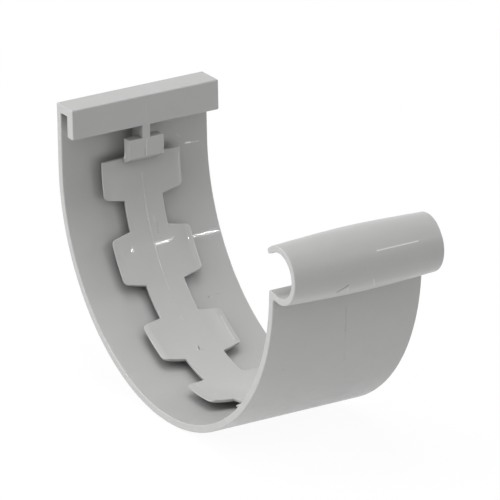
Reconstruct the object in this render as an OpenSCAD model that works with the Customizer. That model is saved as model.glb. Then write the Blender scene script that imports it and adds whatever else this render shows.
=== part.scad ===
// Gutter union: one injection moulding that joins two lengths of half-round gutter end to end.
// X runs across the gutter, from the wall side to the front bead. Y runs along the gutter.
// The origin lies on the axis of the half-round trough, midway along the union.
// Angles round the trough start at the back, at 0, and pass 90 at the bottom and 180 at the front.

/* [Trough] */
// Outer radius of the half-round trough
trough_r = 60; // [52:0.5:80]
// Thickness of the trough wall
wall_t = 2.3; // [1.6:0.1:3.4]
// Length of the union along the gutter
union_l = 49; // [34:0.5:90]

/* [Back clip] */
// Height of the top of the back clip above the axis of the trough
back_h = 19.7; // [18:0.1:32]
// Thickness of the top of the clip
clip_top_t = 2.7; // [1.6:0.1:4]
// Width of the slot that takes the back edge of the gutter
slot_w = 3.6; // [2.8:0.1:5]
// Depth of the slot, from the lower edge of the flange to its ceiling
slot_h = 6.5; // [4:0.1:8]
// Thickness of the front flange of the clip
flange_t = 3.3; // [2:0.1:5]
// Radius on the long outer edges of the clip
clip_edge_r = 0.35; // [0.2:0.05:0.8]

/* [Front hook] */
// Distance of the centre of the hook outside the outer face of the trough
hook_out = 3.25; // [2.6:0.05:3.8]
// Height of the centre of the hook above the axis of the trough
hook_up = 4.7; // [4.2:0.1:5.4]
// Radius of the bore that takes the front bead of the gutter
hook_bore_r = 6.6; // [6:0.1:7.2]
// Thickness of the hook wall at the two ends
hook_t = 2; // [1.4:0.1:3]
// How much the outside of the hook swells midway along its length
hook_crown = 0.8; // [0.2:0.1:1.5]
// Height of the sill of the mouth below the axis of the trough
sill_drop = 0.95; // [0.6:0.05:1.3]
// Direction of the end of the lip, measured round the hook from the front
lip_angle = 134; // [124:1:140]
// Thickness of the lip at its end
lip_t = 1.4; // [1:0.1:1.8]

/* [Retaining strip] */
// Clear gap between the trough and the strip, where the gutter wall slides in
gutter_gap = 2.1; // [1.4:0.1:3]
// Thickness of the strip and its wings
strip_t = 1; // [0.7:0.05:1.6]
// Width of the strip between its wings
strip_w = 12.6; // [8:0.1:16]
// Width over a pair of wings, tip to tip
wing_span = 26.2; // [20:0.1:32]
// How far the tips of the wings flare towards the axis of the trough, as a lead-in for the gutter
wing_flare = 0.7; // [0.2:0.1:1.2]
// Length of a wing along the strip, at its root
wing_l = 16.5; // [12:0.1:19]
// How far each side of a wing slopes in towards its tip
wing_taper = 1.5; // [0:0.1:3]
// Radius on the tip corners of a wing
wing_corner_r = 1.7; // [0.5:0.1:3]
// Distance from the start of one wing to the start of the next, along the face of the strip
wing_pitch = 27.2; // [24:0.1:34]
// Length of the short wing at the top of the strip
top_wing_l = 12.9; // [9:0.1:14]
// Distance from the short wing to the first full wing
top_gap = 9; // [6:0.1:14]
// Width of the bevel along the tip of a wing
tip_bevel_w = 1.6; // [0.3:0.1:2]
// Depth of the bevel along the tip of a wing
tip_bevel_t = 0.5; // [0.2:0.05:0.6]
// Width of the flow ridge that runs down the middle of the strip
ridge_w = 0.5; // [0.3:0.05:1]
// Height of the flow ridge
ridge_h = 0.12; // [0.05:0.01:0.3]

/* [Stop web, neck and block] */
// Thickness of the central web that stands between the trough and the strip
web_t = 1.6; // [1:0.1:2.4]
// Width of the neck that hangs from the flange
neck_w = 2.6; // [2:0.1:5]
// Thickness of the neck
neck_t = 2.2; // [1.5:0.1:3]
// Height of the neck between the flange and the block
neck_h = 3.8; // [2:0.1:6]
// Width of the block at the top of the strip
block_w = 11.6; // [6:0.1:12]

/* [Hidden] */
$fn = 96;
fine_fn = 360;
eps = 0.01;
inner_r = trough_r - wall_t;
strip_back_r = inner_r - gutter_gap;
strip_face_r = strip_back_r - strip_t;
slot_x = -inner_r + slot_w;
flange_x = slot_x + flange_t;
flange_z = back_h - clip_top_t - slot_h;
block_top_z = flange_z - neck_h;
hook_x = trough_r + hook_out;
hook_r = hook_bore_r + hook_t;
mm_per_degree = PI * strip_face_r / 180;
strip_end_z = 0.3;
// Distance from the middle of the strip where the wings start to flare, just outside their root
flare_y = strip_w / 2 + 0.4;
// How far the rounded corners of the gaps run past the tips of the wings
tip_overcut = 0.02;
strip_start_a = -asin(strip_end_z / strip_face_r);
full_start_a = strip_start_a + (top_wing_l + top_gap) / mm_per_degree;
pitch_a = wing_pitch / mm_per_degree;
// Directions round the hook where the straight roof and floor of its mouth run into the bore
mouth_roof_angle = 110;
mouth_floor_angle = 262;
// How far inside the bore the roof and the floor of the mouth end
mouth_inset = 0.14;
// Direction in which the end face of the lip rises from its lower corner
lip_face_angle = 110;
// Height of the foot of the block, and how far its ramp drops below that
block_foot_z = 0.9;
block_ramp = 2;
// Clearance under the sill, which the last wing is cut off to leave
strip_clearance = 2;
strip_stop_a = 180 - asin((sill_drop + strip_clearance) / strip_face_r);
full_wings = floor((strip_stop_a - full_start_a - wing_l / mm_per_degree) / pitch_a) + 1;
// Where the flow ridge starts and ends round the trough
ridge_start_a = 1;
ridge_end_a = full_start_a + 1.5 * pitch_a;

// Turns a section drawn in X and Z into a solid of length l, centred on the middle of the union.
module along_gutter(l) {
    rotate([90, 0, 0])
        linear_extrude(l, center = true)
            children();
}

// A wedge from angle a0 to angle a1 round the trough, wide enough to cut any of its rings.
module wedge(a0, a1) {
    far = 2 * trough_r;
    steps = ceil((a1 - a0) / 30);
    polygon([
        [0, 0],
        for (i = [0 : steps])
            let (a = 180 + a0 + (a1 - a0) * i / steps)
            far * [cos(a), sin(a)]
    ]);
}

// Part of a ring round the axis of the trough.
module ring_part(r_in, r_out, a0, a1) {
    intersection() {
        difference() {
            circle(r_out, $fn = fine_fn);
            circle(r_in, $fn = fine_fn);
        }
        wedge(a0, a1);
    }
}

// A rectangle from corner p to corner q whose four corners are rounded.
module round_rect(p, q, r) {
    translate([p[0] + r, p[1]])
        square([q[0] - p[0] - 2 * r, q[1] - p[1]]);
    translate([p[0], p[1] + r])
        square([q[0] - p[0], q[1] - p[1] - 2 * r]);
    for (x = [p[0] + r, q[0] - r], y = [p[1] + r, q[1] - r])
        translate([x, y])
            circle(r, $fn = 32);
}

// Section of the trough: a half round with a straight wall above it at the back.
module wall_section() {
    ring_part(inner_r, trough_r, 0, 180);
    translate([-trough_r, 0])
        square([wall_t, back_h - clip_edge_r]);
}

// Section of the clip: an upside-down channel over the back edge of the gutter.
module clip_section() {
    difference() {
        round_rect([-trough_r, flange_z], [flange_x, back_h], clip_edge_r);
        translate([-inner_r, flange_z - eps])
            square([slot_w, slot_h + eps]);
    }
}

// Section of everything that the hook leaves open towards the inside of the gutter.
module mouth_section() {
    centre = [hook_x, hook_up];
    mouth_r = hook_bore_r - mouth_inset;
    roof = centre + mouth_r * [cos(mouth_roof_angle), sin(mouth_roof_angle)];
    floor_end = centre + mouth_r * [cos(mouth_floor_angle), sin(mouth_floor_angle)];
    sill = [inner_r, -sill_drop];
    inside = 2 * sill - floor_end;
    lip_rise = [cos(lip_face_angle), sin(lip_face_angle)];
    lip_under = centre + hook_r * [cos(lip_angle), sin(lip_angle)] - lip_t * lip_rise;
    above = lip_under + 2 * hook_r * lip_rise;
    polygon([centre, floor_end, inside, [inside[0], above[1]], above, lip_under, roof]);
}

// The outside of the hook: a barrel that swells midway along the union.
module hook_barrel() {
    half = union_l / 2;
    steps = 8;
    profile = [
        for (i = [-steps : steps])
            [hook_r + hook_crown * (1 - pow(i / steps, 2)), half * i / steps]
    ];
    rotate([90, 0, 0])
        rotate_extrude($fn = 180)
            polygon([[0, -half], each profile, [0, half]]);
}

// The trough with its back clip and its front hook, a C that is open towards the inside.
module shell() {
    difference() {
        union() {
            along_gutter(union_l) {
                wall_section();
                clip_section();
            }
            difference() {
                translate([hook_x, 0, hook_up])
                    hook_barrel();
                rotate([90, 0, 0])
                    cylinder(h = union_l + 2, r = inner_r, center = true, $fn = fine_fn);
            }
        }
        translate([hook_x, 0, hook_up])
            rotate([90, 0, 0])
                cylinder(h = union_l + 2, r = hook_bore_r, center = true, $fn = 180);
        along_gutter(union_l + 2)
            mouth_section();
    }
}

// Points of the arc of radius r that rounds corner b of the outline a, b, c.
function rounded_corner(a, b, c, r, steps = 6) =
    let (
        u = (a - b) / norm(a - b),
        v = (c - b) / norm(c - b),
        half = acos(u * v) / 2,
        centre = b + (u + v) / norm(u + v) * r / sin(half),
        first = b + u * r / tan(half) - centre,
        last = b + v * r / tan(half) - centre,
        a0 = atan2(first[1], first[0]),
        turn = atan2(last[1], last[0]) - a0,
        sweep = turn > 180 ? turn - 360 : turn < -180 ? turn + 360 : turn
    )
    [for (i = [0 : steps]) centre + r * [cos(a0 + sweep * i / steps), sin(a0 + sweep * i / steps)]];

// Outline of the gap, g long at its root, between two wings on the side that u points to.
module wing_gap_outline(g, u) {
    root = strip_w / 2;
    tip = wing_span / 2 + tip_overcut;
    outside = tip + 1;
    far = g / 2 + wing_taper + wing_l;
    upper = rounded_corner([root, g / 2], [tip, g / 2 + wing_taper], [tip, far], wing_corner_r);
    lower = rounded_corner([tip, -far], [tip, -g / 2 - wing_taper], [root, -g / 2], wing_corner_r);
    outline = [
        [root, -g / 2],
        [root, g / 2],
        each upper,
        [outside, upper[len(upper) - 1][1]],
        [outside, lower[0][1]],
        each lower
    ];
    polygon([for (p = outline) [u * p[0], p[1]]]);
}

// Cuts the gap that starts at angle a0 out of both sides of the strip.
module wing_gap(a0, g) {
    middle_a = a0 + g / 2 / mm_per_degree;
    for (u = [-1, 1])
        rotate([0, -middle_a, 0])
            translate([-strip_back_r - 1, 0, 0])
                rotate([90, 0, 90])
                    linear_extrude(strip_t + 3)
                        wing_gap_outline(g, u);
}

// How far the strip flares towards the axis at distance y from its middle.
function flare_at(y) = wing_flare * pow(max(0, abs(y) - flare_y) / (wing_span / 2 - flare_y), 2);

// The band that the wings are cut from. Its sides flare inwards and are bevelled on the inner face.
module strip_band() {
    tip = wing_span / 2;
    bevel_y = tip - tip_bevel_w;
    half = [flare_y, (flare_y + bevel_y) / 2, bevel_y, tip];
    steps = len(half) - 1;
    across = [for (i = [steps : -1 : 0]) -half[i], each half];
    back = [for (y = across) [strip_back_r - flare_at(y), y]];
    face = [
        for (y = across)
            let (bevel = abs(y) == tip ? tip_bevel_t : 0)
            [strip_face_r - flare_at(y) + bevel, -y]
    ];
    rotate([90, 0, 0])
        rotate([0, 0, 180 + strip_start_a])
            rotate_extrude(angle = strip_stop_a - strip_start_a, $fn = fine_fn)
                polygon([each back, each face]);
}

// The curved strip with its wings, standing off the trough by the gap for the gutter wall.
module winged_strip() {
    difference() {
        strip_band();
        wing_gap(strip_start_a + top_wing_l / mm_per_degree, top_gap);
        for (i = [1 : full_wings])
            wing_gap(full_start_a + (i - 1) * pitch_a + wing_l / mm_per_degree, wing_pitch - wing_l);
    }
    along_gutter(ridge_w)
        ring_part(strip_face_r - ridge_h, strip_face_r + strip_t / 2, ridge_start_a, ridge_end_a);
}

// The central web: it closes the gap under the strip and is what the gutter ends butt against.
module stop_web() {
    along_gutter(web_t) {
        ring_part(strip_back_r - strip_t / 2, inner_r + wall_t / 2, -1, strip_stop_a);
        translate([-inner_r - wall_t / 2, 0])
            square([slot_w + wall_t / 2 + flange_t - neck_t / 2, flange_z + eps]);
        translate([-inner_r - wall_t / 2, flange_z])
            square([slot_w + wall_t / 2 + eps, slot_h + eps]);
    }
}

// The neck under the flange and the thick block that carries the top of the strip.
module neck_and_block() {
    seat_x = -strip_face_r - strip_t / 2;
    ramp_x = -strip_face_r + strip_t / 2;
    along_gutter(neck_w)
        translate([flange_x - neck_t, block_top_z - eps])
            square([neck_t, neck_h + 2 * eps]);
    along_gutter(block_w)
        polygon([
            [flange_x, block_top_z],
            [slot_x, block_top_z],
            [slot_x, strip_end_z + strip_t],
            [seat_x, strip_end_z - strip_t / 2],
            [seat_x, block_foot_z - block_ramp],
            [ramp_x, block_foot_z - block_ramp],
            [flange_x, block_foot_z]
        ]);
}

// The whole union is moulded in one piece of grey PVC.
module gutter_union() {
    color("#b9bab7") {
        shell();
        winged_strip();
        stop_web();
        neck_and_block();
    }
}

gutter_union();
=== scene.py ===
from math import asin, atan2, cos, pi, radians, sin, sqrt, tau

import bmesh
import bpy
from bpy.props import FloatProperty, FloatVectorProperty, PointerProperty
from mathutils import Matrix, Vector


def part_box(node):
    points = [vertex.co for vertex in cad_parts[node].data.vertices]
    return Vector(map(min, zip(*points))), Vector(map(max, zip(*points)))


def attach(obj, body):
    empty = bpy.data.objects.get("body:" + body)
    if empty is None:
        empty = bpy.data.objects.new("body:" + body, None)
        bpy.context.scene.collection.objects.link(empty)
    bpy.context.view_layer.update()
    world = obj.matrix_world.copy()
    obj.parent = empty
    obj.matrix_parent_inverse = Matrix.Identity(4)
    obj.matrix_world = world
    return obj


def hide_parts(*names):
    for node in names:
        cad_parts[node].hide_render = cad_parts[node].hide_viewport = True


bl_info = {
    "name": "Gutter Union",
    "version": (1, 0, 0),
    "blender": (4, 5, 0),
    "location": "3D View > Sidebar > Gutter Union",
    "description": "Builds a one-piece union for half-round gutters with its stage",
    "category": "Add Mesh",
}

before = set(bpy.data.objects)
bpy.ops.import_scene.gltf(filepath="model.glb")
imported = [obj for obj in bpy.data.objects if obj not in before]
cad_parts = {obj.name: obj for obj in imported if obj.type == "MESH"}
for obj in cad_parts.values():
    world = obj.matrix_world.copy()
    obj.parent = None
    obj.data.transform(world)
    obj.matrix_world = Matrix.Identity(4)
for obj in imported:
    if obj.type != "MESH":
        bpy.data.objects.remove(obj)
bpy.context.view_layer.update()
NODE = "gutter_union"
LOW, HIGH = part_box(NODE)
MM = 0.001

# Points nearer to each other than WELD are one. A cut passes through a point nearer to it than SNAP.
# A face that would lie in another face stands back from it by HAIR.
WELD = 0.0005 * MM
SNAP = 0.02 * MM
HAIR = 0.01 * MM

# How many straight steps stand for the long arcs, and which bends between faces stay sharp
TROUGH_STEPS = 96
HOOK_STEPS = 64
BORE_STEPS = 44
WEB_STEPS = 90
STRIP_STEPS = 110
FLARE_STEPS = 6
SHELL_RINGS = 61
SHARP = radians(38)


# Sizes, each a property that the sidebar shows

def length(name, description, default):
    """A size of the object, stored in metres."""
    return FloatProperty(
        name=name, description=description, default=default, min=0.0, unit="LENGTH", precision=5,
    )


def angle(name, description, degrees):
    """An angle, given here in degrees."""
    return FloatProperty(name=name, description=description, default=radians(degrees), unit="ROTATION")


class ShellSizes(bpy.types.PropertyGroup):
    """Sizes of the trough, its back clip and its front hook."""

    trough_r: length("Trough radius", "Outer radius of the half-round trough", -LOW.x)
    wall_t: length("Wall", "Thickness of the trough wall", 2.3 * MM)
    half_l: length("Half length", "Half the length along the gutter", HIGH.y)
    back_h: length("Back height", "Top of the clip above the axis of the trough", HIGH.z)
    clip_top_t: length("Clip top", "Thickness of the top of the clip", 2.7 * MM)
    slot_w: length("Slot width", "Width of the slot for the back edge of the gutter", 3.6 * MM)
    slot_h: length("Slot depth", "Depth of the slot in the clip", 6.5 * MM)
    flange_t: length("Flange", "Thickness of the front flange of the clip", 3.3 * MM)
    hook_out: length("Hook distance", "Centre of the hook outside the trough", 3.25 * MM)
    hook_up: length("Hook height", "Centre of the hook above the axis of the trough", 4.7 * MM)
    hook_bore_r: length("Hook bore", "Radius of the bore for the front bead", 6.6 * MM)
    hook_t: length("Hook wall", "Thickness of the hook at its two ends", 2.0 * MM)
    hook_crown: length("Hook swell", "How much the hook swells midway along", 0.8 * MM)
    swell_l: length("Swell length", "How far from midway the swell bends most", 12 * MM)
    sill_drop: length("Sill drop", "Sill of the mouth below the axis of the trough", 0.95 * MM)
    lip_t: length("Lip", "Thickness of the lip at its end", 1.4 * MM)
    lip_angle: angle("Lip angle", "Direction of the end of the lip round the hook", 134)
    lip_face_angle: angle("Lip face", "Direction in which the end of the lip rises", 110)
    mouth_roof_angle: angle("Mouth roof", "Where the roof of the mouth ends round the bore", 110)
    mouth_floor_angle: angle("Mouth floor", "Where the floor of the mouth ends round the bore", 262)
    mouth_inset: length("Mouth inset", "How far inside the bore roof and floor end", 0.14 * MM)
    edge_r: length("Edge radius", "Radius on the edges of the two end faces", 0.3 * MM)
    corner_r: length("Corner radius", "Radius on the long outer corners", 0.4 * MM)
    root_r: length("Root radius", "Radius of the hollow where the hook meets the trough", 0.8 * MM)


class StripSizes(bpy.types.PropertyGroup):
    """Sizes of the winged strip and of the web, neck and block that carry it."""

    gutter_gap: length("Gutter gap", "Gap between trough and strip for the gutter wall", 2.1 * MM)
    strip_t: length("Strip", "Thickness of the strip and its wings", 1.0 * MM)
    strip_w: length("Strip width", "Width of the strip between its wings", 12.6 * MM)
    wing_span: length("Wing span", "Width over a pair of wings", 26.2 * MM)
    wing_flare: length("Wing flare", "How far the tips of the wings flare inwards", 0.7 * MM)
    flare_start: length("Flare start", "How far outside the root of a wing its flare starts", 0.4 * MM)
    wing_l: length("Wing length", "Length of a wing at its root", 16.5 * MM)
    wing_taper: length("Wing taper", "How far each side of a wing slopes in to its tip", 1.5 * MM)
    wing_corner_r: length("Wing corners", "Radius on the corners of a wing", 1.7 * MM)
    wing_pitch: length("Wing pitch", "From the start of one wing to the next", 27.2 * MM)
    top_wing_l: length("Top wing", "Length of the short wing at the top", 12.9 * MM)
    top_gap: length("Top gap", "From the short wing to the first full wing", 9.0 * MM)
    tip_bevel_w: length("Tip bevel width", "Width of the bevel along the tip of a wing", 1.6 * MM)
    tip_bevel_t: length("Tip bevel depth", "Depth of the bevel along the tip of a wing", 0.5 * MM)
    ridge_h: length("Flow ridge", "Height of the flow ridge down the strip", 0.12 * MM)
    ridge_w: length("Ridge width", "Width of the flow ridge", 0.5 * MM)
    ridge_start: length("Ridge start", "Where the flow ridge starts along the strip", 5 * MM)
    ridge_end: length("Ridge end", "Where the flow ridge ends along the strip", 41 * MM)
    ridge_off: length("Ridge offset", "How far the flow ridge lies from the middle of the strip", 0.2 * MM)
    ridge_fade: length("Ridge fade", "Length over which each end of the flow ridge rises", 4 * MM)
    strip_end_z: length("Strip top", "Height of the top edge of the strip", 0.3 * MM)
    strip_clearance: length("Sill clearance", "From the sill down to the end of the strip", 2.0 * MM)
    edge_r: length("Wing edges", "Radius on the edges of the strip", 0.22 * MM)
    web_t: length("Web", "Thickness of the central stop web", 1.6 * MM)
    neck_w: length("Neck width", "Width of the neck under the flange", 2.6 * MM)
    neck_t: length("Neck", "Thickness of the neck", 2.2 * MM)
    neck_h: length("Neck height", "Height of the neck over the block", 3.8 * MM)
    neck_edge_r: length("Neck edges", "Radius on the edges of the neck", 0.15 * MM)
    block_w: length("Block width", "Width of the block at the top of the strip", 11.6 * MM)
    block_foot_z: length("Block foot", "Height of the foot of the block", 0.9 * MM)
    block_ramp: length("Block ramp", "How far the ramp of the block drops", 2.0 * MM)
    block_edge_r: length("Block edges", "Radius on the edges of the block", 0.25 * MM)


class FinishSettings(bpy.types.PropertyGroup):
    """Colour and surface of the moulding, and the shade painted into its narrow hollows."""

    colour: FloatVectorProperty(
        name="PVC colour", description="Colour of the moulding", subtype="COLOR",
        default=(0.4, 0.4, 0.395), min=0.0, max=1.0,
    )
    mottle: FloatProperty(
        name="Mottle", description="How much the colour varies from place to place", default=0.015,
        min=0.0, max=0.5,
    )
    mottle_length: length("Mottle length", "Length over which the colour varies", 15 * MM)
    wave_length: length("Wave length", "Length of the faint waves of the surface", 4 * MM)
    wave_height: length("Wave height", "Height of the faint waves of the surface", 0.01 * MM)
    # Painted shade: how much darker the base colour is painted in the narrow hollows and creases
    crevice_shade: FloatProperty(
        name="Crevice shade", description="How much darker the narrow hollows are", default=0.65, min=0.0, max=1.0,
    )
    crevice_reach: length("Crevice reach", "How near a wall stands in a narrow hollow", 3.5 * MM)
    roughness: FloatProperty(
        name="Roughness", description="How matt the moulded surface is", default=0.4, min=0.0, max=1.0,
    )
    roughness_spread: FloatProperty(
        name="Roughness spread", description="How much the roughness varies from place to place",
        default=0.04, min=0.0, max=0.5,
    )
    gloss: FloatProperty(
        name="Gloss", description="Weight of the thin glossy skin", default=0.22, min=0.0, max=1.0,
    )
    gloss_roughness: FloatProperty(
        name="Gloss roughness", description="How matt the thin glossy skin is", default=0.05,
        min=0.0, max=1.0,
    )


class StageSettings(bpy.types.PropertyGroup):
    """Where the camera stands, and how bright the room and the floor are."""

    room: FloatProperty(
        name="Room light", description="Strength of the even light from all round", default=0.01, min=0.0,
    )
    floor_glow: FloatProperty(
        name="Floor glow", description="Light that the white floor gives upwards", default=0.03, min=0.0,
    )
    floor_white: FloatProperty(
        name="Floor white", description="How little of the shadow shows on the floor", default=0.95,
        min=0.0, max=1.0,
    )
    floor_reach: length("Floor reach", "Half the width of the floor", 4.0)
    shadow_reach: length("Shadow reach", "Distance over which the floor fades to plain white", 0.35)

    azimuth: angle("Azimuth", "Direction of the camera round the object", 59.32)
    elevation: angle("Elevation", "Height of the camera as an angle", 20.47)
    roll: angle("Roll", "Turn of the camera about its own line of sight", -1.13)
    distance: length("Distance", "From the camera to the axis of the trough", 2.285)
    aim_across: FloatProperty(
        name="Aim across", description="How far the axis lies to the right of the middle", default=-3.62 * MM,
        unit="LENGTH", precision=5,
    )
    aim_down: FloatProperty(
        name="Aim down", description="How far the axis lies below the middle", default=-11.57 * MM,
        unit="LENGTH", precision=5,
    )
    lens: FloatProperty(name="Lens", description="Focal length in millimetres", default=577.1, min=1.0)


# Outlines of the sections, in the plane across the gutter

def polar(centre, r, a):
    """The point at distance r and direction a from centre."""
    return centre + r * Vector((cos(a), sin(a)))


def arc(centre, first, last, turn, steps):
    """Points of the arc round centre from first to last. turn is 1 anticlockwise and -1 clockwise."""
    a0 = atan2(*(first - centre).yx)
    a1 = atan2(*(last - centre).yx)
    sweep = turn * ((turn * (a1 - a0)) % tau)
    r = (first - centre).length
    return [polar(centre, r, a0 + sweep * i / steps) for i in range(steps + 1)]


def corner(before, at, after, r, steps=4):
    """Points of the arc of radius r that rounds the corner at, between two straight sides."""
    u = (before - at).normalized()
    v = (after - at).normalized()
    half = u.angle(v) / 2
    reach = r * cos(half) / sin(half)
    centre = at + (u + v).normalized() * r / sin(half)
    turn = 1 if u.x * v.y - u.y * v.x < 0 else -1
    return arc(centre, at + u * reach, at + v * reach, turn, steps)


def circles_meet(c0, r0, c1, r1, side):
    """Where two circles meet. side is 1 for the point to the left of the line from c0 to c1, or -1."""
    gap = (c1 - c0).length
    along = (gap * gap + r0 * r0 - r1 * r1) / (2 * gap)
    u = (c1 - c0) / gap
    return c0 + u * along + side * sqrt(r0 * r0 - along * along) * Vector((-u.y, u.x))


def line_meets_circle(p, u, centre, r, side):
    """Where the line through p along u meets a circle. side is 1 for the further point along u, or -1."""
    middle = (centre - p).dot(u)
    off = (centre - p - u * middle).length
    return p + u * (middle + side * sqrt(r * r - off * off))


def clip_places(s):
    """X of the back and the front of the flange, and Z of its lower edge and of the ceiling of the slot."""
    slot_x = -s.trough_r + s.wall_t + s.slot_w
    ceiling = s.back_h - s.clip_top_t
    return slot_x, slot_x + s.flange_t, ceiling - s.slot_h, ceiling


def shell_outline(s, crown):
    """Section of the shell as points in X and Z, clockwise from the top of the back."""
    origin = Vector((0, 0))
    inner_r = s.trough_r - s.wall_t
    slot_x, flange_x, flange_z, ceiling = clip_places(s)
    clip = [
        Vector(p) for p in (
            (-s.trough_r, 0), (-s.trough_r, s.back_h), (flange_x, s.back_h), (flange_x, flange_z),
            (slot_x, flange_z), (slot_x, ceiling), (-inner_r, ceiling), (-inner_r, 0),
        )
    ]
    points = []
    for i, r in enumerate((s.corner_r, s.corner_r, s.corner_r, s.corner_r, s.edge_r, s.edge_r), start=1):
        points += corner(clip[i - 1], clip[i], clip[i + 1], r)

    hook = Vector((s.trough_r + s.hook_out, s.hook_up))
    hook_r = s.hook_bore_r + s.hook_t
    mouth_r = s.hook_bore_r - s.mouth_inset
    floor_end = polar(hook, mouth_r, s.mouth_floor_angle)
    roof_end = polar(hook, mouth_r, s.mouth_roof_angle)
    sill = Vector((inner_r, -s.sill_drop))
    floor_u = (floor_end - sill).normalized()
    floor_n = Vector((floor_u.y, -floor_u.x))
    sill_r = 2 * s.corner_r
    sill_c = line_meets_circle(sill + floor_n * sill_r, floor_u, origin, inner_r + sill_r, 1)
    sill_in = sill_c.normalized() * inner_r
    sill_top = sill_c - floor_n * sill_r
    points += arc(origin, Vector((-inner_r, 0)), sill_in, 1, TROUGH_STEPS)
    points += arc(sill_c, sill_in, sill_top, -1, 6)[1:]

    floor_at = line_meets_circle(sill, floor_u, hook, s.hook_bore_r, -1)
    lip_rise = Vector((cos(s.lip_face_angle), sin(s.lip_face_angle)))
    lip_under = polar(hook, hook_r, s.lip_angle) - s.lip_t * lip_rise
    roof_u = (roof_end - lip_under).normalized()
    roof_at = line_meets_circle(lip_under, roof_u, hook, s.hook_bore_r, -1)
    points += arc(hook, floor_at, roof_at, 1, BORE_STEPS)

    outer_r = hook_r + crown
    tip_r = s.corner_r
    lip_n = Vector((lip_rise.y, -lip_rise.x))
    points += corner(roof_at, lip_under, lip_under + lip_rise, s.edge_r)
    tip_c = line_meets_circle(lip_under + lip_n * tip_r, lip_rise, hook, outer_r - tip_r, 1)
    tip_out = hook + (tip_c - hook).normalized() * outer_r
    points += arc(tip_c, tip_c - lip_n * tip_r, tip_out, -1, 4)
    root_c = circles_meet(hook, outer_r + s.root_r, origin, s.trough_r + s.root_r, 1)
    root_hook = hook + (root_c - hook).normalized() * outer_r
    root_trough = root_c.normalized() * s.trough_r
    points += arc(hook, tip_out, root_hook, -1, HOOK_STEPS)[1:]
    points += arc(root_c, root_hook, root_trough, 1, 8)[1:]
    points += arc(origin, root_trough, Vector((-s.trough_r, 0)), -1, TROUGH_STEPS)[1:]
    return points


def strip_places(shell, strip):
    """Radius of the back and of the face of the strip, and its first and last angle round the trough."""
    back_r = shell.trough_r - shell.wall_t - strip.gutter_gap
    face_r = back_r - strip.strip_t
    return back_r, face_r, -asin(strip.strip_end_z / face_r), pi - asin(
        (shell.sill_drop + strip.strip_clearance) / face_r
    )


def strip_outline(shell, strip):
    """Outline of the flattened strip with its wings: X along the strip from its top end, Y across it."""
    _, face_r, start_a, stop_a = strip_places(shell, strip)
    end = (stop_a - start_a) * face_r
    root = strip.strip_w / 2
    tip = strip.wing_span / 2
    taper = strip.wing_taper
    wings = [(0.0, strip.top_wing_l, 0.0)]
    at = strip.top_wing_l + strip.top_gap
    while at + 2 * taper < end:
        wings.append((at, strip.wing_l, taper))
        at += strip.wing_pitch
    side = []
    for at, wing_l, lead in wings:
        foot = at + wing_l
        if lead:
            side += [(at, root, strip.edge_r), (at + lead, tip, strip.wing_corner_r)]
        else:
            side.append((at, tip, 2 * strip.edge_r))
        if foot < end:
            side += [(foot - taper, tip, strip.wing_corner_r), (foot, root, strip.edge_r)]
        else:
            side.append((end, tip, 2 * strip.edge_r))
    loop = side + [(x, -y, r) for x, y, r in reversed(side)]
    points = []
    for i, (x, y, r) in enumerate(loop):
        before = Vector(loop[i - 1][:2])
        after = Vector(loop[(i + 1) % len(loop)][:2])
        points += corner(before, Vector((x, y)), after, r, 6 if r == strip.wing_corner_r else 3)
    return points


def web_outline(shell, strip):
    """Section of the stop web: a ring under the strip, and the stretch behind the neck and in the slot."""
    origin = Vector((0, 0))
    slot_x, flange_x, flange_z, ceiling = clip_places(shell)
    back_r, _, start_a, stop_a = strip_places(shell, strip)
    sunk = shell.wall_t / 2
    out_r = shell.trough_r - sunk
    in_r = back_r - strip.strip_t / 2
    neck_x = flange_x - strip.neck_t / 2
    stop_u = Vector((-cos(stop_a), -sin(stop_a)))
    points = [
        Vector((-out_r, ceiling + sunk)), Vector((slot_x + sunk, ceiling + sunk)),
        Vector((slot_x + sunk, flange_z + sunk)), Vector((neck_x, flange_z + sunk)),
        Vector((neck_x, strip.block_foot_z + strip.strip_t)),
    ]
    points += arc(origin, Vector((-in_r, 0)), stop_u * in_r, 1, WEB_STEPS)
    points += arc(origin, stop_u * out_r, Vector((-out_r, 0)), -1, WEB_STEPS)
    return points


def tip_shape(strip, y):
    """How far the bevel lowers the face of the strip at y, and how far the flare of the wings lifts it."""
    off = abs(y)
    tip = strip.wing_span / 2
    flare_y = strip.strip_w / 2 + strip.flare_start
    bevel_y = tip - strip.tip_bevel_w
    drop = strip.tip_bevel_t * max(off - bevel_y, 0.0) / strip.tip_bevel_w
    flare = strip.wing_flare * (max(off - flare_y, 0.0) / (tip - flare_y)) ** 2
    return drop, flare


def hook_radius(shell, y):
    """Outer radius of the hook at y, where its swell is a hyperbola."""
    def fall(at):
        return sqrt((at / shell.swell_l) ** 2 + 1) - 1

    return shell.hook_bore_r + shell.hook_t + shell.hook_crown * (1 - fall(y) / fall(shell.half_l))


def neck_outline(shell, strip):
    """Section of the neck, sunk into the flange above it and the block below it."""
    _, flange_x, flange_z, _ = clip_places(shell)
    sunk = shell.wall_t / 2
    low = flange_z - strip.neck_h - sunk
    high = flange_z + sunk
    back = flange_x - strip.neck_t
    front = flange_x - HAIR
    return [Vector(p) for p in ((back, low), (back, high), (front, high), (front, low))]


def block_outline(shell, strip):
    """Section of the block, with the ramp at its foot that runs on to the face of the strip."""
    slot_x, flange_x, flange_z, _ = clip_places(shell)
    back_r, face_r, _, _ = strip_places(shell, strip)
    top = flange_z - strip.neck_h
    half_t = strip.strip_t / 2
    low = strip.block_foot_z - strip.block_ramp
    points = [
        (flange_x, strip.block_foot_z), (-face_r + half_t, low), (-face_r - half_t, low),
        (-face_r - half_t, strip.strip_end_z - half_t), (slot_x, strip.strip_end_z + strip.strip_t),
        (slot_x, top), (flange_x, top),
    ]
    return [Vector(p) for p in points]


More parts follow.
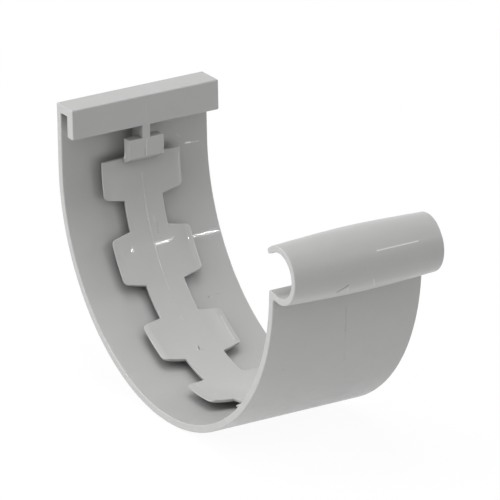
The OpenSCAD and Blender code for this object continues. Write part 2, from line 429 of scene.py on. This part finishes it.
def outward(points):
    """For each point of a clockwise outline, how it moves when the outline grows by one."""
    moves = []
    for i, p in enumerate(points):
        u = (p - points[i - 1]).normalized()
        v = (points[(i + 1) % len(points)] - p).normalized()
        n = Vector((-u.y, u.x)) + Vector((-v.y, v.x))
        moves.append(n * 2 / n.length_squared)
    return moves


# Geometry Nodes: a section swept along the gutter, and a flat strip wrapped round the trough

def node(tree, kind, links=(), **settings):
    """A new node with its settings, whose inputs are then linked or set by name or number."""
    made = tree.nodes.new(kind)
    for name, value in settings.items():
        setattr(made, name, value)
    for key, value in dict(links).items():
        socket = made.inputs[key]
        if isinstance(value, bpy.types.NodeSocket):
            tree.links.new(value, socket)
        else:
            socket.default_value = value
    return made


def math(tree, operation, *values):
    """The output of a Math node."""
    return node(tree, "ShaderNodeMath", enumerate(values), operation=operation).outputs[0]


def vector(tree, operation, *values):
    """The output of a Vector Math node. The last value is the scale where the operation is SCALE."""
    keys = (0, 3) if operation == "SCALE" else range(len(values))
    return node(tree, "ShaderNodeVectorMath", zip(keys, values), operation=operation).outputs[0]


def new_tree(name, inputs):
    """A Geometry Nodes tree with its named inputs, and the outputs of its input node."""
    tree = bpy.data.node_groups.new(name, "GeometryNodeTree")
    tree.interface.new_socket(name="Geometry", in_out="INPUT", socket_type="NodeSocketGeometry")
    for label, kind in inputs.items():
        tree.interface.new_socket(name=label, in_out="INPUT", socket_type=kind)
    tree.interface.new_socket(name="Geometry", in_out="OUTPUT", socket_type="NodeSocketGeometry")
    return tree, tree.nodes.new("NodeGroupInput").outputs


def end_tree(tree, given, made):
    """Ends a tree in Realize Instances and Set Material."""
    real = node(tree, "GeometryNodeRealizeInstances", {"Geometry": made})
    painted = node(tree, "GeometryNodeSetMaterial", {
        "Geometry": real.outputs[0], "Material": given["Material"],
    })
    tree.links.new(painted.outputs[0], tree.nodes.new("NodeGroupOutput").inputs[0])
    return tree


def section_tree():
    """Sweeps a filled outline along Y. Rings crowd towards both ends, where the edges are rounded."""
    tree, given = new_tree("swept section", {
        "Half Length": "NodeSocketFloat", "Edge Radius": "NodeSocketFloat", "Rings": "NodeSocketInt",
        "Swell Length": "NodeSocketFloat", "Material": "NodeSocketMaterial",
    })
    outline = given["Geometry"]
    half = given["Half Length"]
    edge = given["Edge Radius"]
    rings = given["Rings"]
    size = node(tree, "GeometryNodeAttributeDomainSize", {0: outline}).outputs["Point Count"]
    grid = node(tree, "GeometryNodeMeshGrid", {
        "Vertices X": math(tree, "ADD", size, 1.0), "Vertices Y": rings,
    }).outputs["Mesh"]
    index = node(tree, "GeometryNodeInputIndex").outputs[0]
    column = math(tree, "MODULO", math(tree, "FLOOR", math(tree, "DIVIDE", index, rings)), size)
    ring = math(tree, "MODULO", index, rings)

    def carried(name):
        """The value of that name that the points of the outline carry."""
        return node(
            tree, "GeometryNodeInputNamedAttribute", {"Name": name}, data_type="FLOAT_VECTOR",
        ).outputs[0]

    def of_column(value):
        """What a value of the outline is at the point of this column."""
        return node(tree, "GeometryNodeSampleIndex", {
            "Geometry": outline, "Value": value, "Index": column,
        }, data_type="FLOAT_VECTOR", domain="POINT").outputs[0]

    last = math(tree, "SUBTRACT", rings, 1.0)
    turn = math(tree, "MULTIPLY", math(tree, "SUBTRACT", math(tree, "DIVIDE", ring, last), 0.5), pi)
    share = math(tree, "SINE", turn)
    along = math(tree, "MULTIPLY", share, half)
    left = math(tree, "SUBTRACT", half, math(tree, "ABSOLUTE", along))
    into = math(tree, "MAXIMUM", math(tree, "SUBTRACT", edge, left), 0.0)
    squares = math(tree, "SUBTRACT", math(tree, "MULTIPLY", edge, edge), math(tree, "MULTIPLY", into, into))
    inset = math(tree, "SUBTRACT", math(tree, "SQRT", squares), edge)

    def fall(y):
        """How far the swell has fallen at y, as the height of a hyperbola."""
        part = math(tree, "DIVIDE", y, given["Swell Length"])
        return math(tree, "SUBTRACT", math(tree, "SQRT", math(tree, "MULTIPLY_ADD", part, part, 1.0)), 1.0)

    swell = math(tree, "SUBTRACT", 1.0, math(tree, "DIVIDE", fall(along), fall(half)))
    place = of_column(node(tree, "GeometryNodeInputPosition").outputs[0])
    place = vector(tree, "ADD", place, vector(tree, "SCALE", of_column(carried("swell")), swell))
    place = vector(tree, "ADD", place, vector(tree, "SCALE", of_column(carried("outward")), inset))
    shift = node(tree, "ShaderNodeCombineXYZ", {"Y": along}).outputs[0]
    side = node(tree, "GeometryNodeSetPosition", {
        "Geometry": grid, "Position": vector(tree, "ADD", place, shift),
    }).outputs[0]

    caps = []
    for sign in (-1.0, 1.0):
        away = node(tree, "ShaderNodeCombineXYZ", {"Y": math(tree, "MULTIPLY", half, sign)}).outputs[0]
        inwards = vector(tree, "SCALE", carried("outward"), math(tree, "MULTIPLY", edge, -1.0))
        cap = node(tree, "GeometryNodeSetPosition", {
            "Geometry": outline, "Offset": vector(tree, "ADD", away, inwards),
        }).outputs[0]
        caps.append(cap)
    whole = node(tree, "GeometryNodeJoinGeometry")
    for part in (side, *caps):
        tree.links.new(part, whole.inputs[0])
    closed = node(tree, "GeometryNodeMergeByDistance", {"Geometry": whole.outputs[0], "Distance": WELD})
    return end_tree(tree, given, closed.outputs[0])


def wrap_tree():
    """Wraps a flat plate round the trough. X runs along the plate, and Z is the depth from its face."""
    tree, given = new_tree("wrapped strip", {
        "Face Radius": "NodeSocketFloat", "Start Angle": "NodeSocketFloat",
        "Material": "NodeSocketMaterial",
    })
    flat = node(tree, "ShaderNodeSeparateXYZ", {0: node(tree, "GeometryNodeInputPosition").outputs[0]})
    face_r = given["Face Radius"]
    turn = math(tree, "ADD", math(tree, "DIVIDE", flat.outputs["X"], face_r), given["Start Angle"])
    r = math(tree, "MULTIPLY", math(tree, "ADD", face_r, flat.outputs["Z"]), -1.0)
    place = node(tree, "ShaderNodeCombineXYZ", {
        "X": math(tree, "MULTIPLY", r, math(tree, "COSINE", turn)),
        "Y": flat.outputs["Y"],
        "Z": math(tree, "MULTIPLY", r, math(tree, "SINE", turn)),
    }).outputs[0]
    bent = node(tree, "GeometryNodeSetPosition", {"Geometry": given["Geometry"], "Position": place})
    return end_tree(tree, given, bent.outputs[0])


def grown(name, mesh, tree, **values):
    """An object whose mesh is what the tree makes of the given mesh."""
    made = bpy.data.objects.new(name, mesh)
    bpy.context.scene.collection.objects.link(made)
    modifier = made.modifiers.new(tree.name, "NODES")
    modifier.node_group = tree
    for item in tree.interface.items_tree:
        key = item.name.replace(" ", "_").lower()
        if item.in_out == "INPUT" and key in values:
            modifier[item.identifier] = values[key]
    return settled(made)


def settled(made):
    """Turns what the object's modifiers make into its plain mesh."""
    evaluated = made.evaluated_get(bpy.context.evaluated_depsgraph_get())
    mesh = bpy.data.meshes.new_from_object(evaluated)
    mesh.name = made.name
    made.modifiers.clear()
    made.data = mesh
    return made


def point_outwards(mesh):
    """Merges the mesh's doubles and points its faces outwards."""
    bm = bmesh.new()
    bm.from_mesh(mesh)
    bmesh.ops.remove_doubles(bm, verts=bm.verts, dist=WELD)
    bmesh.ops.recalc_face_normals(bm, faces=bm.faces)
    bm.to_mesh(mesh)
    bm.free()


def section_mesh(name, points, swollen=None):
    """A filled outline in the XZ plane that carries how each point grows and swells."""
    mesh = bpy.data.meshes.new(name)
    mesh.from_pydata([(p.x, 0.0, p.y) for p in points], [], [range(len(points))])
    swollen = swollen or points
    for label, moves in (
        ("outward", outward(points)), ("swell", [b - a for a, b in zip(points, swollen)]),
    ):
        attribute = mesh.attributes.new(label, "FLOAT_VECTOR", "POINT")
        attribute.data.foreach_set("vector", [x for m in moves for x in (m.x, 0.0, m.y)])
    return mesh


def swept(name, points, half_length, edge_radius, rings, swollen=None, swell_length=1.0):
    """A section swept along the gutter."""
    tree = bpy.data.node_groups.get("swept section") or section_tree()
    made = grown(
        name, section_mesh(name, points, swollen), tree,
        half_length=half_length, edge_radius=edge_radius, rings=rings, swell_length=swell_length,
        material=pvc(),
    )
    point_outwards(made.data)
    return made


def flat_plate(name, points, thickness, edge_r):
    """A flat plate with rounded edges: its face lies at Z 0 and its back at Z thickness."""
    growth = outward(points)
    levels = [(edge_r * (1 - sin(a)), edge_r * (1 - cos(a))) for a in (0, pi / 6, pi / 3, pi / 2)]
    levels += [(inset, thickness - depth) for inset, depth in reversed(levels)]
    bm = bmesh.new()
    loops = [
        [bm.verts.new((p.x - g.x * inset, p.y - g.y * inset, depth)) for p, g in zip(points, growth)]
        for inset, depth in levels
    ]
    for low, high in zip(loops, loops[1:]):
        for i in range(len(points)):
            bm.faces.new((low[i - 1], low[i], high[i], high[i - 1]))
    bm.faces.new(loops[0])
    bm.faces.new(loops[-1])
    mesh = bpy.data.meshes.new(name)
    bm.to_mesh(mesh)
    bm.free()
    return mesh


def cut_across(bm, axis, places):
    """Cuts a mesh by planes square to axis at the given places."""
    normal = Vector([float(i == axis) for i in range(3)])
    for place in places:
        bmesh.ops.bisect_plane(
            bm, geom=bm.verts[:] + bm.edges[:] + bm.faces[:], dist=SNAP, plane_co=normal * place,
            plane_no=normal,
        )


# Materials

# Small marks: face, start, end, width and rise in mm, and how much lighter the mark is. A start or an end
# is how far round a curved face in degrees, or how far up a flat one in mm, and then Y in mm. Degrees run
# from the level of the face's centre, up on the hook and down elsewhere. On the rim, mm from its outside
# stand in place of Y. Some marks are painted light and shade: glints, highlights along ridges, and the
# shade inside the nick and the dent.
MARKS = {
    # The nick is sunk a little and painted darker inside as painted shade; its edge and end are painted
    # lighter as painted light
    "nick under the hook": ("hook", (-36.5, -10.2), (-23.5, -7.1), 0.6, -0.1, -0.75),
    "edge of the nick": ("hook", (-41.5, -8.7), (-31, -6.8), 0.6, 0.06, 0.3),
    "end of the nick": ("hook", (-31, -6.8), (-41, -6.6), 0.6, 0.06, 0.25),
    "tick under the hook": ("hook", (-23, 1.0), (-40.5, 2.2), 0.6, 0.06, 0.35),
    "foot of the tick": ("hook", (-40.5, 2.2), (-46, 1.1), 0.6, 0.06, 0.2),
    # Painted highlight: lighter lines along the flow ridge that the strip carries, in five pieces
    "painted highlight on the flow ridge 1": ("strip", (5.5, 0.2), (12.8, 0.2), 0.9, 0.0, 0.14),
    "painted highlight on the flow ridge 2": ("strip", (12.8, 0.2), (20.1, 0.2), 0.9, 0.0, 0.18),
    "painted highlight on the flow ridge 3": ("strip", (20.1, 0.2), (27.5, 0.2), 0.9, 0.0, 0.12),
    "painted highlight on the flow ridge 4": ("strip", (27.5, 0.2), (34.8, 0.2), 0.9, 0.0, 0.16),
    "painted highlight on the flow ridge 5": ("strip", (34.8, 0.2), (42.7, 0.2), 0.9, 0.0, 0.09),
    # Painted glint: a light line where the highlight of the small lamp runs along the hook
    "painted glint on the hook": ("hook", (28, 2.5), (28.6, 16.2), 0.65, 0.02, 0.7),
    # Painted highlights: lighter lines along the bevels of the wings where they catch the light, over a tiny
    # real rise
    "ridge on the third wing, upper": ("strip", (55.7, 11.8), (60.6, 11.6), 0.7, 0.04, 0.22),
    "ridge on the third wing, lower": ("strip", (60.6, 11.6), (65.6, 11.3), 0.7, 0.04, 0.22),
    "ridge on the top wing, upper": ("strip", (1.9, 12.5), (6.4, 12.4), 0.6, 0.03, 0.15),
    "ridge on the top wing, lower": ("strip", (6.4, 12.4), (10.9, 12.3), 0.6, 0.03, 0.15),
    # Painted glint: a bright spot on the corner of the block
    "painted glint on the block corner": ("block corner", (1.7, -5.8), (0.9, -5.8), 1.8, 0.0, 0.9),
    # Painted glint: the brightest part of the glint along the seam on the back wall
    "painted glint at the end of the seam": ("back wall", (-0.4, 17.2), (-0.5, 18.5), 0.9, 0.0, 0.9),
    "weld line on the block": ("flange", (6.3, 0.0), (1.3, -0.2), 0.6, 0.05, 0.28),
    "side of the weld line": ("flange", (3.5, -0.65), (1.2, -0.65), 0.5, -0.03, -0.2),
    "weld line on the flange": ("flange", (17.2, 0.2), (12.0, 0.1), 0.8, 0.01, 0.05),
    "second flow line": ("strip", (19.4, 2.1), (21.1, 2.0), 0.9, 0.0, 0.12),
    "end of the second flow line": ("strip", (21.6, 2.8), (24.7, 2.5), 0.7, 0.02, -0.14),
    "speck on the strip": ("strip", (47.9, -0.4), (48, -0.4), 0.9, 0.05, 0.14),
    "second speck on the strip": ("strip", (52.4, -0.2), (53.5, 0.1), 0.8, 0.03, 0.1),
    # The dent is sunk a little and painted darker inside as painted shade; its rim is painted lighter as
    # painted light
    "dent on the strip": ("strip", (64.7, -0.2), (65.8, -0.5), 0.75, -0.1, -0.7),
    "foot of the dent": ("strip", (65.9, -0.4), (66.3, 0.8), 0.5, -0.02, -0.25),
    "rim of the dent": ("strip", (64.3, -0.6), (66.3, -1.3), 0.6, 0.02, 0.15),
    "dot on the far wall": ("trough", (46.7, 13.1), (46.7, 13.2), 0.9, -0.05, -0.35),
    "side of the dot": ("trough", (47, 13.9), (47, 14.0), 0.9, 0.03, 0.15),
    "dash on the far wall": ("trough", (46.2, 15.7), (46.5, 17.0), 0.7, 0.0, -0.1),
    "curl on the back wall": ("back wall", (2.9, 14.0), (1.8, 15.2), 0.8, 0.02, 0.15),
    # A small real ridge, painted lighter along it as a painted glint
    "seam on the back wall": ("back wall", (-0.4, 16.4), (-0.7, 21.3), 0.6, 0.12, 0.5),
    "sink line, upper part": ("front", (10.6, -0.2), (18.3, 0.7), 0.9, -0.02, -0.13),
    "sink line, lower part": ("front", (18.3, 0.7), (29.9, 3.1), 0.9, -0.02, -0.1),
    "dot on the front": ("front", (43.1, -22.1), (43.1, -22.0), 0.9, -0.03, -0.35),
    "smudge on the front": ("front", (27.8, -17.9), (27.9, -17.4), 1.5, 0.0, -0.08),
    # A short stroke on the rim, sunk a little and painted darker
    "dark stroke on the rim": ("rim", (28.3, 1.75), (31.1, 0.4), 0.5, -0.05, -0.4),
}


def mark_faces(shell, strip):
    """For each face that has marks, a function from a place on it to the point there."""
    slot_x, flange_x, _, _ = clip_places(shell)
    _, face_r, _, _ = strip_places(shell, strip)
    inner_r = shell.trough_r - shell.wall_t
    origin = Vector((0, 0))
    hook = Vector((shell.trough_r + shell.hook_out, shell.hook_up))

    def spot(centre, r, degrees, y):
        """The point round a centre in the plane across the gutter, moved along the gutter to y."""
        p = polar(centre, r, radians(degrees))
        return p.x, y, p.y

    def strip_spot(down, y):
        drop, flare = tip_shape(strip, y * MM)
        return spot(origin, face_r + drop - flare, 180 + down, y * MM)

    return {
        "hook": lambda up, y: spot(hook, hook_radius(shell, y * MM), up, y * MM),
        "strip": strip_spot,
        "trough": lambda down, y: spot(origin, inner_r, 180 + down, y * MM),
        "front": lambda down, y: spot(origin, shell.trough_r, -down, y * MM),
        "rim": lambda down, inset: spot(
            origin, shell.trough_r - inset * MM, -down, shell.edge_r * 2 / 3 - shell.half_l,
        ),
        "back wall": lambda up, y: (-inner_r, y * MM, up * MM),
        "flange": lambda up, y: (flange_x, y * MM, up * MM),
        "block corner": lambda up, y: (slot_x + strip.block_edge_r, y * MM, up * MM),
    }


def mark_tree():
    """A shader group that gives 1 on a straight stroke and fades to 0 at its sides."""
    tree = bpy.data.node_groups.new("mark", "ShaderNodeTree")
    for label, kind in (
        ("Position", "NodeSocketVector"), ("Start", "NodeSocketVector"), ("End", "NodeSocketVector"),
        ("Width", "NodeSocketFloat"),
    ):
        tree.interface.new_socket(name=label, in_out="INPUT", socket_type=kind)
    tree.interface.new_socket(name="Share", in_out="OUTPUT", socket_type="NodeSocketFloat")
    given = tree.nodes.new("NodeGroupInput").outputs
    along = vector(tree, "SUBTRACT", given["End"], given["Start"])
    here = vector(tree, "SUBTRACT", given["Position"], given["Start"])
    ratio = math(tree, "DIVIDE", dot(tree, here, along), dot(tree, along, along))
    ratio = math(tree, "MINIMUM", math(tree, "MAXIMUM", ratio, 0.0), 1.0)
    nearest = vector(tree, "SUBTRACT", here, vector(tree, "SCALE", along, ratio))
    off = node(tree, "ShaderNodeVectorMath", {0: nearest}, operation="LENGTH").outputs["Value"]
    share = node(tree, "ShaderNodeMapRange", {
        "Value": off, "From Min": 0.0, "From Max": math(tree, "MULTIPLY", given["Width"], 0.5),
        "To Min": 1.0, "To Max": 0.0,
    }, interpolation_type="SMOOTHSTEP").outputs[0]
    tree.links.new(share, tree.nodes.new("NodeGroupOutput").inputs["Share"])
    return tree


def dot(tree, a, b):
    """The dot product of two vectors."""
    return node(tree, "ShaderNodeVectorMath", {0: a, 1: b}, operation="DOT_PRODUCT").outputs["Value"]


def pvc():
    """Semi-gloss moulded PVC, faintly mottled and wavy, with the marks of moulding and handling. Its narrow
    hollows are painted darker as painted shade, and some marks are painted glints, highlights and shade.
    """
    made = bpy.data.materials.get("moulded pvc")
    if made:
        return made
    scene = bpy.context.scene
    finish = scene.gutter_union_finish
    faces = mark_faces(scene.gutter_union_shell, scene.gutter_union_strip)
    made = bpy.data.materials.new("moulded pvc")
    made.use_nodes = True
    tree = made.node_tree
    place = node(tree, "ShaderNodeTexCoord").outputs["Object"]

    def noise(wavelength, detail, low, high):
        """Noise of a wavelength, between two values. Most noise lies between 0.3 and 0.7."""
        grain = node(tree, "ShaderNodeTexNoise", {
            "Vector": place, "Scale": 1 / wavelength, "Detail": detail, "Roughness": 0.7,
        })
        return node(tree, "ShaderNodeMapRange", {
            "Value": grain.outputs[0], "From Min": 0.3, "From Max": 0.7, "To Min": low, "To Max": high,
        }).outputs[0]

    stroke = mark_tree()
    tone = noise(finish.mottle_length, 3.0, 1.0 - finish.mottle, 1.0 + finish.mottle)
    height = noise(finish.wave_length, 3.0, 0.0, finish.wave_height / MM)
    # Each mark adds its rise to the bump and its lighter share to the colour; for some marks that colour is
    # painted light and shade
    for name, (face, start, end, width, rise, lighter) in MARKS.items():
        mark = node(tree, "ShaderNodeGroup", node_tree=stroke)
        mark.name = name
        tree.links.new(place, mark.inputs["Position"])
        mark.inputs["Start"].default_value = faces[face](*start)
        mark.inputs["End"].default_value = faces[face](*end)
        mark.inputs["Width"].default_value = width * MM
        if rise:
            height = math(tree, "MULTIPLY_ADD", mark.outputs[0], rise, height)
        if lighter:
            tone = math(tree, "MULTIPLY_ADD", mark.outputs[0], lighter, tone)

    bump = node(tree, "ShaderNodeBump", {"Height": height, "Strength": 1.0, "Distance": MM}).outputs[0]
    # Painted shade: the base colour is darkened where ambient occlusion finds walls near by, in the hollows
    # and creases
    open_share = node(
        tree, "ShaderNodeAmbientOcclusion", {"Distance": finish.crevice_reach}, samples=8, only_local=True,
    ).outputs["AO"]
    painted_hollow_shade = node(tree, "ShaderNodeMapRange", {
        "Value": open_share, "To Min": 1.0 - finish.crevice_shade, "To Max": 1.0,
    }).outputs[0]
    tone = math(tree, "MULTIPLY", tone, painted_hollow_shade)
    shader = tree.nodes["Principled BSDF"]
    tree.links.new(vector(tree, "SCALE", tuple(finish.colour), tone), shader.inputs["Base Color"])
    spread = finish.roughness_spread
    matt = noise(finish.wave_length, 2.0, finish.roughness - spread, finish.roughness + spread)
    tree.links.new(matt, shader.inputs["Roughness"])
    tree.links.new(bump, shader.inputs["Normal"])
    tree.links.new(bump, shader.inputs["Coat Normal"])
    shader.inputs["Coat Weight"].default_value = finish.gloss
    shader.inputs["Coat Roughness"].default_value = finish.gloss_roughness
    return made


# Stage

# Lamps round the object: azimuth and elevation in degrees, distance, width and height, watts
LAMPS = {
    "top": (0, 90, 1.5, 0.8, 0.8, 10.0),
    "front_top": (90, 65, 1.5, 0.9, 0.8, 1.5),
    "near_high": (0, 42, 1.5, 0.9, 0.8, 5.5),
    "near_low": (0, 14, 1.5, 1.0, 0.55, 6.0),
    "side_high": (45, 42, 1.5, 0.9, 0.8, 4.0),
    "front_high": (135, 42, 1.5, 0.9, 0.8, 0.9),
    "far_low": (180, 14, 1.5, 1.0, 0.55, 12.0),
    "back_low": (315, 14, 1.5, 1.0, 0.55, 5.0),
    "back_high": (315, 42, 1.5, 0.9, 0.8, 6.2),
    "small": (126.2, 27.8, 1.1, 0.075, 0.014, 0.45),
}


def towards(azimuth, elevation):
    """The direction from the object to an azimuth and elevation, where azimuth 0 is -Y and 90 is +X."""
    return Vector((sin(azimuth) * cos(elevation), -cos(azimuth) * cos(elevation), sin(elevation)))


def lamp(scene, name, azimuth, elevation, distance, width, height, watts):
    """An area lamp that faces the object."""
    made = bpy.data.objects.new(name, bpy.data.lights.new(name, "AREA"))
    made.data.shape = "RECTANGLE"
    made.data.size = width
    made.data.size_y = height
    made.data.energy = watts
    back = towards(radians(azimuth), radians(elevation))
    made.location = back * distance
    made.rotation_euler = back.to_track_quat("Z", "Y").to_euler()
    scene.collection.objects.link(made)


def shows_background(tree):
    """1 for the rays that show the background: those of the camera, of gloss and of glass."""
    ray = node(tree, "ShaderNodeLightPath").outputs
    seen = math(tree, "MAXIMUM", ray["Is Camera Ray"], ray["Is Glossy Ray"])
    return math(tree, "MAXIMUM", seen, ray["Is Transmission Ray"])


def studio(stage):
    """A world that lights evenly from all round and looks white."""
    made = bpy.data.worlds.new("studio")
    made.use_nodes = True
    tree = made.node_tree
    light = tree.nodes["Background"]
    light.inputs["Color"].default_value = (1, 1, 1, 1)
    light.inputs["Strength"].default_value = stage.room
    white = node(tree, "ShaderNodeBackground", {"Color": (1, 1, 1, 1), "Strength": 1.0})
    mixed = node(tree, "ShaderNodeMixShader", {
        0: shows_background(tree), 1: light.outputs[0], 2: white.outputs[0],
    })
    tree.links.new(mixed.outputs[0], tree.nodes["World Output"].inputs["Surface"])
    return made


def floor_paint(stage):
    """White paint for the floor. It keeps a soft shadow near the object and fades to plain white."""
    made = bpy.data.materials.new("floor")
    made.use_nodes = True
    tree = made.node_tree
    paint = tree.nodes["Principled BSDF"]
    paint.inputs["Base Color"].default_value = (0.9, 0.9, 0.9, 1)
    paint.inputs["Roughness"].default_value = 0.9
    paint.inputs["Specular IOR Level"].default_value = 0.0
    paint.inputs["Emission Color"].default_value = (1, 1, 1, 1)
    paint.inputs["Emission Strength"].default_value = stage.floor_glow
    place = node(tree, "ShaderNodeTexCoord").outputs["Object"]
    away = node(tree, "ShaderNodeVectorMath", {0: place}, operation="LENGTH").outputs["Value"]
    share = node(tree, "ShaderNodeMapRange", {
        "Value": away, "From Min": stage.shadow_reach / 3, "From Max": stage.shadow_reach,
        "To Min": stage.floor_white, "To Max": 1.0,
    }, interpolation_type="SMOOTHSTEP").outputs[0]
    white = node(tree, "ShaderNodeEmission", {"Color": (1, 1, 1, 1), "Strength": 1.0})
    mixed = node(tree, "ShaderNodeMixShader", {
        0: math(tree, "MULTIPLY", shows_background(tree), share), 1: paint.outputs[0], 2: white.outputs[0],
    })
    tree.links.new(mixed.outputs[0], tree.nodes["Material Output"].inputs["Surface"])
    return made


# Operators

class GUTTER_OT_shell(bpy.types.Operator):
    """Mould the trough with its back clip and its front hook"""

    bl_idname = "gutter_union.shell"
    bl_label = "Mould the shell"

    def execute(self, context):
        s = context.scene.gutter_union_shell
        swept(
            "shell", shell_outline(s, 0.0), s.half_l, s.edge_r, SHELL_RINGS,
            swollen=shell_outline(s, s.hook_crown), swell_length=s.swell_l,
        )
        return {"FINISHED"}


class GUTTER_OT_strip(bpy.types.Operator):
    """Mould the retaining strip with its wings"""

    bl_idname = "gutter_union.strip"
    bl_label = "Mould the winged strip"

    def execute(self, context):
        shell = context.scene.gutter_union_shell
        strip = context.scene.gutter_union_strip
        _, face_r, start_a, stop_a = strip_places(shell, strip)
        mesh = flat_plate("strip", strip_outline(shell, strip), strip.strip_t, strip.edge_r)
        flare_y = strip.strip_w / 2 + strip.flare_start
        bevel_y = strip.wing_span / 2 - strip.tip_bevel_w
        half_ridge = strip.ridge_w / 2
        sides = [flare_y + (bevel_y - flare_y) * i / FLARE_STEPS for i in range(FLARE_STEPS + 1)]
        ridge = [strip.ridge_off + half_ridge * i for i in (-1, 0, 1)]
        bm = bmesh.new()
        bm.from_mesh(mesh)
        cut_across(bm, 0, [(stop_a - start_a) * face_r * i / STRIP_STEPS for i in range(1, STRIP_STEPS)])
        cut_across(bm, 1, [*sides, *(-y for y in sides), *ridge])
        for v in bm.verts:
            drop, flare = tip_shape(strip, v.co.y)
            on_face = v.co.z < strip.edge_r / 2
            v.co.z = drop + v.co.z * (strip.strip_t - drop) / strip.strip_t - flare
            if on_face and abs(v.co.y - strip.ridge_off) < half_ridge / 2:
                left = min(v.co.x - strip.ridge_start, strip.ridge_end - v.co.x)
                v.co.z -= strip.ridge_h * min(max(left / strip.ridge_fade, 0.0), 1.0)
        bm.to_mesh(mesh)
        bm.free()
        tree = bpy.data.node_groups.get("wrapped strip") or wrap_tree()
        made = grown("strip", mesh, tree, face_radius=face_r, start_angle=start_a, material=pvc())
        point_outwards(made.data)
        return {"FINISHED"}


class GUTTER_OT_web(bpy.types.Operator):
    """Mould the stop web, the neck and the block that carry the strip"""

    bl_idname = "gutter_union.web"
    bl_label = "Mould the web, neck and block"

    def execute(self, context):
        shell = context.scene.gutter_union_shell
        strip = context.scene.gutter_union_strip
        swept("web", web_outline(shell, strip), strip.web_t / 2, 0.0, rings=2)
        swept("neck", neck_outline(shell, strip), strip.neck_w / 2, strip.neck_edge_r, rings=12)
        swept("block", block_outline(shell, strip), strip.block_w / 2, strip.block_edge_r, rings=24)
        return {"FINISHED"}


class GUTTER_OT_fuse(bpy.types.Operator):
    """Fuse the pieces into one moulding that stands for the packed node"""

    bl_idname = "gutter_union.fuse"
    bl_label = "Fuse into one moulding"

    def execute(self, context):
        made = bpy.data.objects["shell"]
        others = [bpy.data.objects[name] for name in ("strip", "block", "neck", "web")]
        for other in others:
            modifier = made.modifiers.new(other.name, "BOOLEAN")
            modifier.operation = "UNION"
            modifier.solver = "EXACT"
            modifier.object = other
        settled(made)
        for other in others:
            bpy.data.objects.remove(other)
        made.name = "union_moulding"
        made.data.name = "union_moulding"
        point_outwards(made.data)
        made.data.shade_smooth()
        made.data.set_sharp_from_angle(angle=SHARP)
        made.modifiers.new("weighted normals", "WEIGHTED_NORMAL").keep_sharp = True
        settled(made)
        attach(made, "root")
        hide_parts(NODE)
        return {"FINISHED"}


class GUTTER_OT_stage(bpy.types.Operator):
    """Set up the floor, the lights and the camera"""

    bl_idname = "gutter_union.stage"
    bl_label = "Set up the stage"

    def execute(self, context):
        scene = context.scene
        stage = scene.gutter_union_stage
        back = towards(stage.azimuth, stage.elevation)
        right = back.cross(Vector((0, 0, -1))).normalized()
        up = back.cross(right)
        turn = stage.roll
        right_r = cos(turn) * right + sin(turn) * up
        up_r = -sin(turn) * right + cos(turn) * up
        place = back * stage.distance - right_r * stage.aim_across + up_r * stage.aim_down
        camera = bpy.data.objects.new("camera", bpy.data.cameras.new("camera"))
        scene.collection.objects.link(camera)
        camera.matrix_world = Matrix((right_r, up_r, back)).transposed().to_4x4()
        camera.location = place
        camera.data.lens = stage.lens
        camera.data.sensor_width = 36
        camera.data.clip_start = 0.1
        camera.data.clip_end = 20
        scene.camera = camera

        reach = stage.floor_reach
        floor_mesh = bpy.data.meshes.new("floor")
        floor_mesh.from_pydata(
            [(x, y, LOW.z) for x, y in ((-reach, -reach), (reach, -reach), (reach, reach), (-reach, reach))],
            [], [(0, 1, 2, 3)],
        )
        floor_mesh.materials.append(floor_paint(stage))
        floor = bpy.data.objects.new("floor", floor_mesh)
        scene.collection.objects.link(floor)
        scene.world = studio(stage)
        for name, settings in LAMPS.items():
            lamp(scene, name, *settings)
        scene.view_settings.view_transform = "Standard"
        return {"FINISHED"}


class GUTTER_PT_sidebar(bpy.types.Panel):
    """Sizes, finish and stage of the union, with the steps that build it"""

    bl_label = "Gutter Union"
    bl_idname = "GUTTER_PT_sidebar"
    bl_space_type = "VIEW_3D"
    bl_region_type = "UI"
    bl_category = "Gutter Union"

    def draw(self, context):
        layout = self.layout
        for operator in OPERATORS:
            layout.operator(operator.bl_idname)
        for name, group in GROUPS.items():
            box = layout.box()
            box.label(text=group.__doc__)
            values = getattr(context.scene, name)
            for key in group.__annotations__:
                box.prop(values, key)


GROUPS = {
    "gutter_union_shell": ShellSizes,
    "gutter_union_strip": StripSizes,
    "gutter_union_finish": FinishSettings,
    "gutter_union_stage": StageSettings,
}
OPERATORS = (GUTTER_OT_shell, GUTTER_OT_strip, GUTTER_OT_web, GUTTER_OT_fuse, GUTTER_OT_stage)
CLASSES = (*GROUPS.values(), *OPERATORS, GUTTER_PT_sidebar)


def register():
    for each in CLASSES:
        bpy.utils.register_class(each)
    for name, group in GROUPS.items():
        setattr(bpy.types.Scene, name, PointerProperty(type=group))


def unregister():
    for name in GROUPS:
        delattr(bpy.types.Scene, name)
    for each in reversed(CLASSES):
        bpy.utils.unregister_class(each)


def main():
    """Builds the union and its stage."""
    register()
    bpy.ops.gutter_union.shell()
    bpy.ops.gutter_union.strip()
    bpy.ops.gutter_union.web()
    bpy.ops.gutter_union.fuse()
    bpy.ops.gutter_union.stage()


if __name__ == "__main__":
    main()
